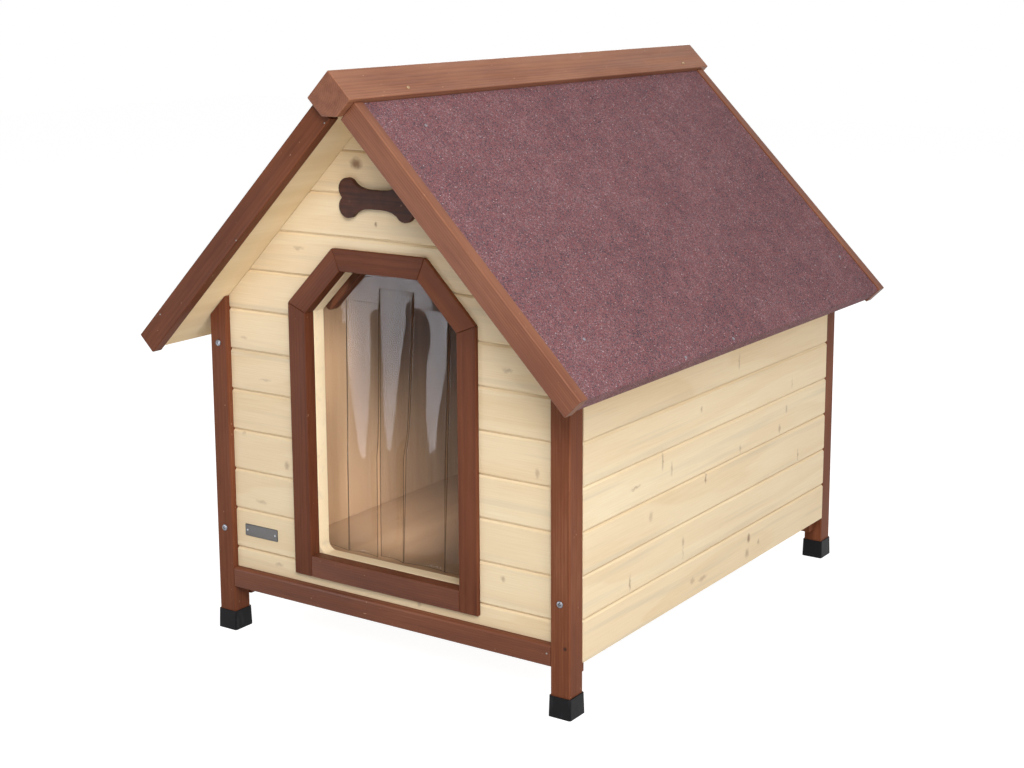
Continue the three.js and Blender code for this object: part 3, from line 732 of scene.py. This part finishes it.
# The curl of each strip: how far below its top (mm), where across the strip the curl's middle lies, from -1
# at the left edge to 1 at the right, and how far an edge would lie out of the middle's plane (mm) if that
# middle were at 0.
CURLS = {
    1: [(0, -1.9, 0), (30, -1.9, 1.1), (380, -1.9, 1.3)],
    2: [(0, -0.2, 0), (12, -0.2, 1.45), (60, -0.09, 1.55), (130, -0.06, 1.8), (170, -0.05, 2.2),
        (208, -0.07, 3.6), (225, -0.07, 5.5), (382, -0.05, 4)],
    3: [(0, -0.45, 0), (12, -0.45, 1.38), (40, -0.4, 1.38), (75, -0.36, 1.6), (145, -0.42, 2.1),
        (184, -0.45, 2.5), (208, -0.45, 3.2), (223, -0.45, 4.5), (240, -0.43, 6.5), (404, -0.4, 4)],
    4: [(0, -0.35, 0), (8, -0.25, 1.1), (17, -0.08, 2.05), (42, 0, 2.25), (78, -0.14, 2.0),
        (114, -0.14, 2.4), (153, -0.12, 3.2), (189, -0.01, 4.5), (210, 0.1, 7), (382, 0.1, 4)],
    5: [(0, 1.9, 0), (30, 1.9, 0.8), (380, 1.9, 1.0)],
}
# How far the left edge of each strip, and the right edge of the last, drifts sideways by the foot.
FOOT_DRIFTS = (0, -5 * MM, -12 * MM, -27 * MM, -15 * MM, 0)


def curl_at(curl, down):
    """The curl's middle across the strip and its depth, at a distance below the top."""
    for above, below in zip(curl, curl[1:]):
        if down <= below[0] * MM:
            share = (down / MM - above[0]) / (below[0] - above[0])
            middle = above[1] + (below[1] - above[1]) * share
            return middle, (above[2] + (below[2] - above[2]) * share) * MM
    return curl[-1][1], curl[-1][2] * MM


def strip_rows(length):
    """(distance below the top, half thickness) down a strip, from its eased top edge to its foot."""
    half = SHEET / 2
    easing = 0.4 * MM
    turns = 5
    rows = []
    for k in range(turns + 1):
        angle = math.pi / 2 * k / turns
        rows.append((easing * (1 - math.cos(angle)), half - easing + easing * math.sin(angle)))
    rows += [(easing + (length - easing) * k / STRIP_STEPS, half) for k in range(1, STRIP_STEPS + 1)]
    return rows


def strip_points(node, curl, left_drift, right_drift):
    """The points of a strip's outer and then its inner face, row by row from the top."""
    lowest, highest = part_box(node)
    middle_x = (lowest.x + highest.x) / 2
    half_width = (highest.x - lowest.x) / 2
    length = highest.z - lowest.z
    foot_set = curl[-1][2] * MM * (1 + abs(curl[-1][1])) ** 2
    points = []
    for face in (-1, 1):
        for down, half in strip_rows(length):
            middle, depth = curl_at(curl, down)
            if abs(middle) > 1:
                set_back = depth * (1 + abs(middle)) ** 2
            else:
                set_back = foot_set * down / length
            for i in range(STRIP_COLUMNS + 1):
                across = 2 * i / STRIP_COLUMNS - 1
                bow = set_back - depth * (across - middle) ** 2
                drift = (left_drift * (1 - across) + right_drift * (1 + across)) / 2
                points.append((
                    middle_x + across * half_width + drift * down / length,
                    lowest.y + SHEET / 2 + face * half + bow,
                    highest.z - down))
    return points


def strip_faces(rows):
    """The faces of a strip that has so many rows: first its two broad sides, then its edges."""
    wide = STRIP_COLUMNS + 1
    back = wide * rows
    last = wide * (rows - 1)
    broad, edges = [], []
    for k in range(rows - 1):
        for i in range(STRIP_COLUMNS):
            a = k * wide + i
            broad.append((a, a + wide, a + wide + 1, a + 1))
            broad.append((back + a, back + a + 1, back + a + wide + 1, back + a + wide))
        left, right = k * wide, k * wide + STRIP_COLUMNS
        edges.append((left, back + left, back + left + wide, left + wide))
        edges.append((right + wide, back + right + wide, back + right, right))
    for i in range(STRIP_COLUMNS):
        edges.append((i, i + 1, back + i + 1, back + i))
        edges.append((last + i, back + last + i, back + last + i + 1, last + i + 1))
    return broad, edges


def strip(index, clear, edge):
    """A curled sheet in place of one of the strips."""
    node = f"curtain_strip_{index}"
    points = strip_points(node, CURLS[index], *FOOT_DRIFTS[index - 1:index + 1])
    broad, edges = strip_faces(len(points) // (2 * (STRIP_COLUMNS + 1)))
    made = piece(f"clear_strip_{index}", [(points, broad + edges)], clear, f"strip_{index}")
    made.data.materials.append(edge)
    for number, polygon in enumerate(made.data.polygons):
        polygon.material_index = 0 if number < len(broad) else 1
        polygon.use_smooth = number < len(broad)
    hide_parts(node)


def dress_curtain():
    clear = clear_plastic("clear_sheet", CLEAR_SHEET, alpha=0.1, roughness=0.02)
    edge = clear_plastic("clear_sheet_edge", CLEAR_EDGE, alpha=0.62, roughness=0.12)
    dress("curtain_header", clear, width=0)
    for index in CURLS:
        strip(index, clear, edge)


# ------------------------------------------------------------ fasteners
# the radius of each kind of head
POST_SCREW = 5 * MM
RIDGE_SCREW = 2.8 * MM
RAIL_NAIL = 1.4 * MM
BARGE_NAIL = 1.1 * MM
BONE_PIN = 1.3 * MM
CLOUT = 2.4 * MM
POST_PLUG = 2.6 * MM
PLATE_PIN = 1.5 * MM

# where they sit
POST_SCREW_HEIGHTS = (162 * MM, 451 * MM)
RIDGE_SCREW_OUT = 29 * MM  # from the beam's middle
RIDGE_SCREW_PLACES = (-362 * MM, 421 * MM)  # along the beam
RAIL_NAIL_IN = 6 * MM  # from the rail's right end
RAIL_NAIL_HEIGHT = 88 * MM
BARGE_NAILS = ((-119, 597), (-316, 571), (-556, 572))  # mm down the roof slope and square out of it
BONE_PIN_OUT = 45.5 * MM  # from the bone's middle
BONE_PIN_HEIGHT = 681.7 * MM
CLOUTS = ((-517, -372), (-143.6, -383), (-143.6, 429), (-72.5, -55), (-71, -200))  # mm down it and along it
POST_PLUG_X = 312.6 * MM
POST_PLUG_HEIGHT = 100.6 * MM


def add_post_screws():
    """Two screws in each post. The upper one's cross is turned further than the lower one's."""
    screws = []
    for end, out in ENDS.items():
        for name in SIDES:
            lowest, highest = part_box(f"{end}_{name}_post")
            middle = (lowest.x + highest.x) / 2
            face = lowest.y if out < 0 else highest.y
            for height in POST_SCREW_HEIGHTS:
                screws.append(screw_head((middle, face, height), (0, out, 0), POST_SCREW, height * 9))
    piece("post_screws", screws, metal("zinc", ZINC, roughness=0.36))


def add_ridge_screws():
    screws = []
    for side in SIDES.values():
        spot = out_of(side) * reach("ridge_beam", out_of(side))
        spot += slope(side) * (RIDGE_SCREW_OUT - spot.x * side) / math.cos(PITCH)
        for along in RIDGE_SCREW_PLACES:
            screws.append(screw_head((spot.x, along, spot.z), out_of(side), RIDGE_SCREW))
    piece("ridge_screws", screws, metal("brassed_steel", BRASS, roughness=0.42))


def add_trim_nails():
    """One nail near the rail's right end, and three in the left barge board."""
    rail_low, rail_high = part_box("front_bottom_rail")
    spot = (rail_high.x - RAIL_NAIL_IN, rail_low.y, RAIL_NAIL_HEIGHT)
    nails = [nail_head(spot, TO_FRONT, RAIL_NAIL)]
    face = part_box("front_left_barge_board")[0].y
    for down, out in BARGE_NAILS:
        spot = slope(-1) * down * MM + out_of(-1) * out * MM
        nails.append(nail_head((spot.x, face, spot.z), TO_FRONT, BARGE_NAIL))
    piece("trim_nails", nails, metal("nail_steel", NAIL_STEEL, roughness=0.45))


def add_bone_pins():
    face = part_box("bone_ornament")[0].y
    pins = []
    for side in SIDES.values():
        pins.append(nail_head((side * BONE_PIN_OUT, face, BONE_PIN_HEIGHT), TO_FRONT, BONE_PIN))
    piece("bone_pins", pins, metal("bronzed_steel", BRONZE, roughness=0.5))


def add_felt_clouts():
    clouts = []
    for name, side in SIDES.items():
        face = reach(name + "_roof_felt", out_of(side))
        for down, along in CLOUTS:
            spot = slope(side) * down * MM + out_of(side) * face
            clouts.append(nail_head((spot.x, along * MM, spot.z), out_of(side), CLOUT))
    piece("felt_clouts", clouts, metal("clout_steel", CLOUT_STEEL, roughness=0.4))


def add_post_plug():
    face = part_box("front_right_post")[0].y
    plug = wood_plug((POST_PLUG_X, face, POST_PLUG_HEIGHT), TO_FRONT, POST_PLUG)
    piece("post_plug", [plug], dark_wood("post_plug_wood", Y_AXIS))


# ------------------------------------------------------------ plate
PLATE_X = -238.5 * MM  # where its middle lies
PLATE_Z = 162.75 * MM
PLATE_HALF_WIDTH = 32.5 * MM
PLATE_HALF_HEIGHT = 9.25 * MM
PLATE_THICKNESS = 1.2 * MM
PLATE_CORNER = 1.6 * MM
PLATE_PIN_IN = 5 * MM  # from the plate's ends
# The plate's rings, from its back to its sunk face: how far each lies in from the rim (mm), and how far out
# of the wall, as a share of the thickness.
PLATE_RINGS = ((0, 0), (0, 0.6), (0.5, 1), (1.3, 1), (1.7, 0.7))


def plate_outline():
    """A rectangle with rounded corners, from its middle."""
    steps = 5
    outline = []
    for right, up, start in ((1, 1, 0), (-1, 1, 90), (-1, -1, 180), (1, -1, 270)):
        for step in range(steps + 1):
            angle = math.radians(start + 90 * step / steps)
            outline.append((
                right * (PLATE_HALF_WIDTH - PLATE_CORNER) + PLATE_CORNER * math.cos(angle),
                up * (PLATE_HALF_HEIGHT - PLATE_CORNER) + PLATE_CORNER * math.sin(angle)))
    return outline


def add_plate():
    """A small bare metal plate with rounded corners, held by two pins."""
    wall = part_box("front_left_boards")[0].y
    outline = plate_outline()
    points = []
    for inset, out in PLATE_RINGS:
        share_x = 1 - inset * MM / PLATE_HALF_WIDTH
        share_z = 1 - inset * MM / PLATE_HALF_HEIGHT
        for x, z in outline:
            points.append((PLATE_X + x * share_x, wall - out * PLATE_THICKNESS, PLATE_Z + z * share_z))
    loops = [loop[::-1] for loop in ring_faces(len(PLATE_RINGS), len(outline))]
    piece("bare_plate", [(points, loops)], metal("plate_metal", PLATE, roughness=0.38, stretch=12))

    face = wall - PLATE_RINGS[-1][1] * PLATE_THICKNESS
    pins = []
    for side in SIDES.values():
        x = PLATE_X + side * (PLATE_HALF_WIDTH - PLATE_PIN_IN)
        pins.append(nail_head((x, face, PLATE_Z), TO_FRONT, PLATE_PIN))
    piece("plate_pins", pins, metal("pin_metal", PIN_METAL, roughness=0.3))


# ------------------------------------------------------------ studio
def add_floor():
    """A pale floor, which shows white where it is seen or mirrored, and keeps the object's shadow."""
    surface = Surface("studio_floor")
    dust = surface.noise(surface.place(), 3.0, 3.0)
    plain = surface.add("BsdfDiffuse", {"Color": surface.blend(dust, FLOOR_GREY, FLOOR_PALE)})
    shadow = surface.add("BsdfDiffuse", {"Color": FLOOR_SHADOW})
    glow = surface.add("Emission", {"Color": WHITE, "Strength": FLOOR_GLOW})
    shown = surface.add("AddShader", {0: shadow, 1: glow})
    surface.end(surface.add("MixShader", {0: surface.seen(), 1: plain, 2: shown}))
    mesh = bpy.data.meshes.new("floor")
    corners = [(-1, -1), (1, -1), (1, 1), (-1, 1)]
    mesh.from_pydata([(x * FLOOR_HALF, y * FLOOR_HALF, -FLOOR_DROP) for x, y in corners], [], [(0, 1, 2, 3)])
    mesh.materials.append(surface.material)
    floor = bpy.data.objects.new("floor", mesh)
    bpy.context.scene.collection.objects.link(floor)


def set_world():
    """A white surround, which shows white where it is seen or mirrored, and gives a weak light."""
    world = bpy.data.worlds.new("studio")
    world.use_nodes = True
    nodes = Nodes(world.node_tree)
    strength = nodes.spread(nodes.seen(), 0.0, 1.0, AMBIENT, 1.0)
    nodes.end(nodes.add("Background", {"Color": WHITE, "Strength": strength}), "OutputWorld")
    bpy.context.scene.world = world


def lamp(name, place, target, size, radiance, spread=180, tint=(1, 1, 1), lights=True, mirrored=True):
    """A softbox that faces target. Its power follows from how bright its face is, where 1 is white."""
    width, height = size
    light = bpy.data.lights.new(name, "AREA")
    light.shape = "RECTANGLE"
    light.size = width
    light.size_y = height
    light.energy = radiance * width * height * math.pi
    light.color = tint
    light.spread = math.radians(spread)
    made = bpy.data.objects.new(name, light)
    bpy.context.scene.collection.objects.link(made)
    made.location = place
    away = Vector(place) - Vector(target)
    made.rotation_mode = "QUATERNION"
    made.rotation_quaternion = away.to_track_quat("Z", "Y")
    made.visible_camera = False
    made.visible_diffuse = lights
    made.visible_glossy = mirrored


def studio():
    add_floor()
    set_world()
    lamp("key_softbox", (1.72, -2.56, 2.4), (0, -0.2, 0.4), (1.5, 1.5), KEY_LIGHT)
    lamp("side_softbox", (2.6, -1.1, 1.25), (0, -0.1, 0.4), (1.3, 1.3), SIDE_LIGHT)
    lamp("top_softbox", (0.4, 0.0, 3.0), (0, 0, 0.5), (2.0, 2.0), TOP_LIGHT)
    lamp("back_softbox", (-1.7, 2.6, 1.5), (0, 0.3, 0.45), (1.4, 1.4), BACK_LIGHT, spread=100)
    lamp("left_softbox", (-0.78, -1.28, 0.36), (-0.05, -0.36, 0.36), (0.3, 0.72), LEFT_LIGHT, mirrored=False)
    lamp("left_card", (-0.61, -1.06, 0.32), (-0.05, -0.36, 0.32), (0.23, 0.57), CARD_LIGHT,
         tint=CARD_TINT, lights=False)
    lamp("cabin_softbox", (0.0, -0.3, 0.27), (-0.285, -0.08, 0.14), (0.08, 0.12), CABIN_LIGHT,
         spread=68, mirrored=False)
    lamp("wall_softbox", (-0.06, -0.33, 0.36), (-0.285, -0.185, 0.375), (0.06, 0.16), WALL_LIGHT,
         spread=44, mirrored=False)
    lamp("doorway_softbox", (0.125, -0.405, 0.335), (-0.148, -0.375, 0.335), (0.02, 0.37), DOORWAY_LIGHT,
         spread=24, mirrored=False)


def camera():
    data = bpy.data.cameras.new("camera")
    data.sensor_width = CAMERA_SENSOR
    data.lens = CAMERA_LENS
    data.shift_y = CAMERA_SHIFT
    data.clip_start, data.clip_end = CAMERA_RANGE
    made = bpy.data.objects.new("camera", data)
    turn = Matrix.Rotation(CAMERA_TURN, 4, "Z") @ Matrix.Rotation(math.pi / 2 - CAMERA_TILT, 4, "X")
    made.matrix_world = Matrix.Translation(CAMERA_PLACE) @ turn @ Matrix.Rotation(CAMERA_ROLL, 4, "Z")
    bpy.context.scene.collection.objects.link(made)
    bpy.context.scene.camera = made


dress_wood()
dress_walls()
dress_roof_and_feet()
dress_curtain()
add_post_screws()
add_ridge_screws()
add_trim_nails()
add_bone_pins()
add_felt_clouts()
add_post_plug()
add_plate()
studio()
camera()
bpy.context.scene.view_settings.view_transform = "Standard"
